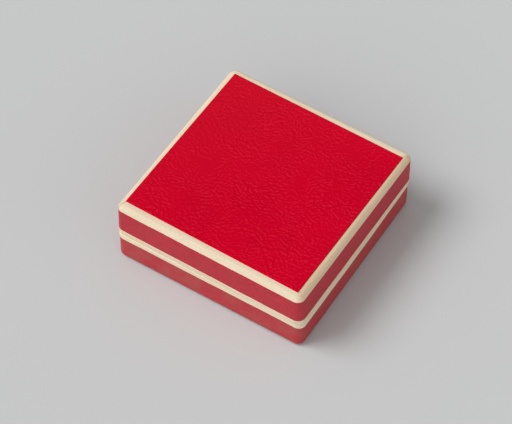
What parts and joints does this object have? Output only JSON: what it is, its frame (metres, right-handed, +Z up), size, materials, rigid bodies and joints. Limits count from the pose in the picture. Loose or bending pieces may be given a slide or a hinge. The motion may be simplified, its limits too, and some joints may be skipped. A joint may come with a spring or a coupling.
{
  "type": "medal presentation case",
  "caption": "Square hinged presentation case for a round medal, covered in red leather with cream paper edging, velvet pad with a round recess, satin-padded lid and a sprung catch.",
  "frame": {"origin": "on the surface that the case stands on, below the middle of the closed case's box", "axes": "+Z up, -Y towards the front edge that opens, +Y towards the hinge, +X to the right seen from the front"},
  "size_m": [0.08, 0.0801, 0.0295],
  "materials": {
    "panel_leather": "grained, half matt",
    "side_leather": "matt",
    "cream_paper": "matt, faintly streaked",
    "boards": "raw",
    "cream_card": "matt",
    "pad_card": "matt",
    "velvet": "short pile",
    "satin": "satin",
    "underside_paper": "matt",
    "hinge_brass": "polished",
    "spring_bronze": "rolled"
  },
  "bodies": {
    "base": {"base_underside_paper": "underside_paper", "base_side_leather": "side_leather", "base_floor_board": "boards", "base_front_wall": "boards", "base_back_wall": "boards", "base_left_wall": "boards", "base_right_wall": "boards", "base_rim_edging": "cream_paper", "collar_front": "cream_card", "collar_left": "cream_card", "collar_right": "cream_card", "base_back_lining": "cream_card", "velvet_pad": "velvet", "recess_floor_disc": "velvet", "hinge_base_leaf": "hinge_brass", "hinge_pin": "hinge_brass", "hinge_base_nail_left": "hinge_brass", "hinge_base_nail_middle": "hinge_brass", "hinge_base_nail_right": "hinge_brass", "catch_spring": "spring_bronze", "catch_rivet_lower": "hinge_brass", "catch_rivet_upper": "hinge_brass"},
    "lid": {"lid_top_panel": "panel_leather", "lid_top_edging": "cream_paper", "lid_top_board": "boards", "lid_side_leather": "side_leather", "lid_rim_edging": "cream_paper", "lid_front_wall": "boards", "lid_back_wall": "boards", "lid_left_wall": "boards", "lid_right_wall": "boards", "lid_front_lining": "satin", "lid_back_lining": "satin", "lid_left_lining": "satin", "lid_right_lining": "satin", "lid_pad_card": "pad_card", "lid_satin_cushion": "satin", "hinge_lid_leaf": "hinge_brass", "hinge_lid_nail_left": "hinge_brass", "hinge_lid_nail_middle": "hinge_brass", "hinge_lid_nail_right": "hinge_brass", "catch_striker_plate": "hinge_brass", "striker_tack_left": "hinge_brass", "striker_tack_right": "hinge_brass"}
  },
  "joints": [
    {"name": "lid_hinge", "type": "hinge", "parent": "base", "child": "lid", "pos_m": [0, 0.0392, 0.0138], "axis": [-1, 0, 0], "range_deg": [0, 100], "deforming": ["catch_spring"]}
  ]
}
